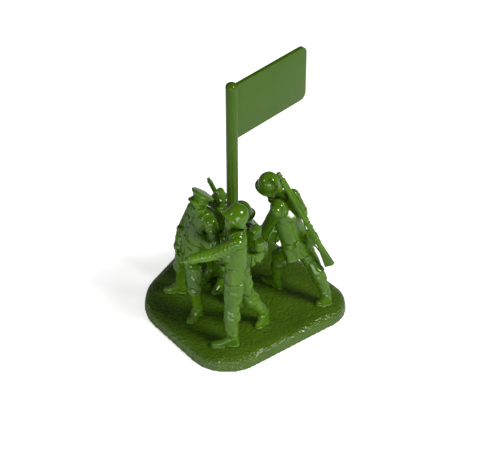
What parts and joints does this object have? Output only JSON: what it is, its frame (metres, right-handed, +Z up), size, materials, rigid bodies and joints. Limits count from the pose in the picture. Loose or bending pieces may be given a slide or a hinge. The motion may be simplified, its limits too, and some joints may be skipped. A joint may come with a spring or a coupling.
{
  "type": "toy soldier group",
  "caption": "Moulded green plastic toy soldiers with a flag, plugged into one rounded base; the flag and the heads turn.",
  "frame": {"origin": "middle of the base's underside", "axes": "+X to the right of the group, +Y to its back, +Z up; the pointing figure stands at the front"},
  "size_m": [0.0326, 0.0356, 0.0441],
  "materials": {
    "base_plastic": "gloss with a pebbled grain",
    "figure_plastic": "gloss",
    "flag_plastic": "gloss"
  },
  "bodies": {
    "root": {"base": "base_plastic"},
    "flag": {"flag": "flag_plastic"},
    "pointer": {"pointer_legs": "figure_plastic", "pointer_torso": "figure_plastic", "pointer_left_arm": "figure_plastic", "pointer_right_arm": "figure_plastic", "pointer_pack": "figure_plastic", "pointer_canteen": "figure_plastic"},
    "pointer_head": {"pointer_head": "figure_plastic"},
    "officer": {"officer_legs": "figure_plastic", "officer_torso": "figure_plastic", "officer_left_arm": "figure_plastic", "officer_right_arm": "figure_plastic", "officer_holster": "figure_plastic"},
    "officer_head": {"officer_head": "figure_plastic"},
    "rifleman": {"rifleman_legs": "figure_plastic", "rifleman_torso": "figure_plastic", "rifleman_left_arm": "figure_plastic", "rifleman_right_arm": "figure_plastic", "rifleman_carbine": "figure_plastic"},
    "rifleman_head": {"rifleman_head": "figure_plastic"},
    "croucher": {"croucher_legs": "figure_plastic", "croucher_torso": "figure_plastic", "croucher_left_arm": "figure_plastic", "croucher_right_arm": "figure_plastic", "croucher_pack": "figure_plastic"},
    "croucher_head": {"croucher_head": "figure_plastic"},
    "leaner": {"leaner_legs": "figure_plastic", "leaner_torso": "figure_plastic", "leaner_left_arm": "figure_plastic", "leaner_right_arm": "figure_plastic", "leaner_rifle": "figure_plastic", "leaner_bedroll": "figure_plastic", "leaner_canteen": "figure_plastic"},
    "leaner_head": {"leaner_head": "figure_plastic"}
  },
  "joints": [
    {"name": "flag_turn", "type": "hinge", "parent": "root", "child": "flag", "pos_m": [-0.00189, -0.00342, 0.0021], "axis": [0, 0, 1], "continuous": true},
    {"name": "pointer_lift", "type": "slide", "parent": "root", "child": "pointer", "axis": [0, 0, 1], "range_m": [0, 0.002]},
    {"name": "pointer_head_turn", "type": "hinge", "parent": "pointer", "child": "pointer_head", "pos_m": [-0.00078, -0.01134, 0.02381], "axis": [0, 0, 1], "range_deg": [-30, 30]},
    {"name": "officer_lift", "type": "slide", "parent": "root", "child": "officer", "axis": [0, 0, 1], "range_m": [0, 0.002]},
    {"name": "officer_head_turn", "type": "hinge", "parent": "officer", "child": "officer_head", "pos_m": [-0.00693, -0.00511, 0.02277], "axis": [0, 0, 1], "range_deg": [-25, 25]},
    {"name": "rifleman_lift", "type": "slide", "parent": "root", "child": "rifleman", "axis": [0, 0, 1], "range_m": [0, 0.002]},
    {"name": "rifleman_head_turn", "type": "hinge", "parent": "rifleman", "child": "rifleman_head", "pos_m": [-0.0042, 0.00056, 0.01877], "axis": [0, 0, 1], "range_deg": [-25, 25]},
    {"name": "croucher_lift", "type": "slide", "parent": "root", "child": "croucher", "axis": [0, 0, 1], "range_m": [0, 0.002]},
    {"name": "croucher_head_turn", "type": "hinge", "parent": "croucher", "child": "croucher_head", "pos_m": [-0.00043, 0.00633, 0.01133], "axis": [0, 0, 1], "range_deg": [-20, 20]},
    {"name": "leaner_lift", "type": "slide", "parent": "root", "child": "leaner", "axis": [0, 0, 1], "range_m": [0, 0.002]},
    {"name": "leaner_head_turn", "type": "hinge", "parent": "leaner", "child": "leaner_head", "pos_m": [0.00455, 0.00022, 0.02082], "axis": [0, 0, 1], "range_deg": [-15, 20]}
  ]
}
